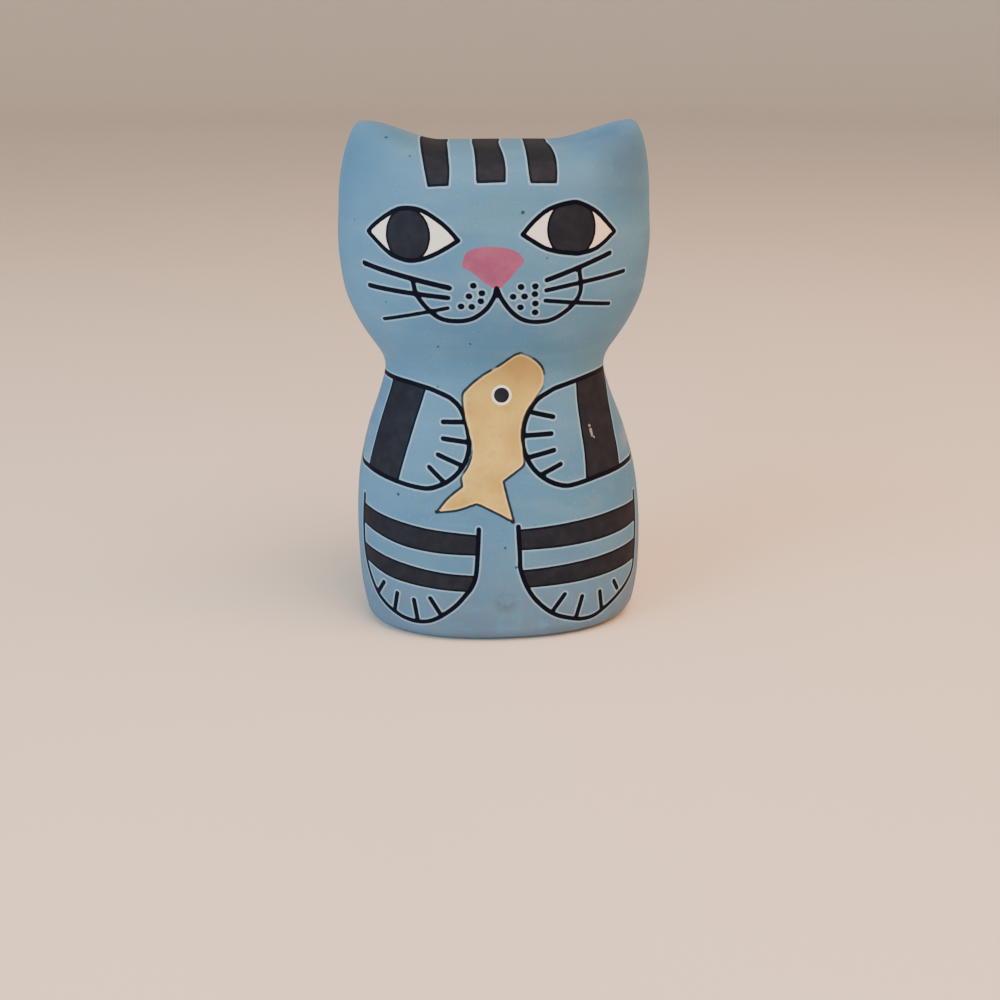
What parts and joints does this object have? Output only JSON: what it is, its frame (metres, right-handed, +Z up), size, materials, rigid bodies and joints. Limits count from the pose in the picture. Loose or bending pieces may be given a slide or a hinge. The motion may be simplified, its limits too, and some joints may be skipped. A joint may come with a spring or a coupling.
{
  "type": "ceramic coin bank",
  "caption": "Hollow ceramic coin bank shaped as a sitting cat, with a slot in the back of the head and a stopper in the base.",
  "frame": {"origin": "on the table, at the centre of the figure's bounding box", "axes": "+Z up towards the ear tips, the painted face looks along -Y, +X to the viewer's right"},
  "size_m": [0.091, 0.064, 0.15],
  "materials": {
    "painted_ceramic": "matte",
    "stopper_plastic": "matte"
  },
  "bodies": {
    "root": {"ceramic_body": "painted_ceramic", "base_stopper": "stopper_plastic"}
  },
  "joints": []
}
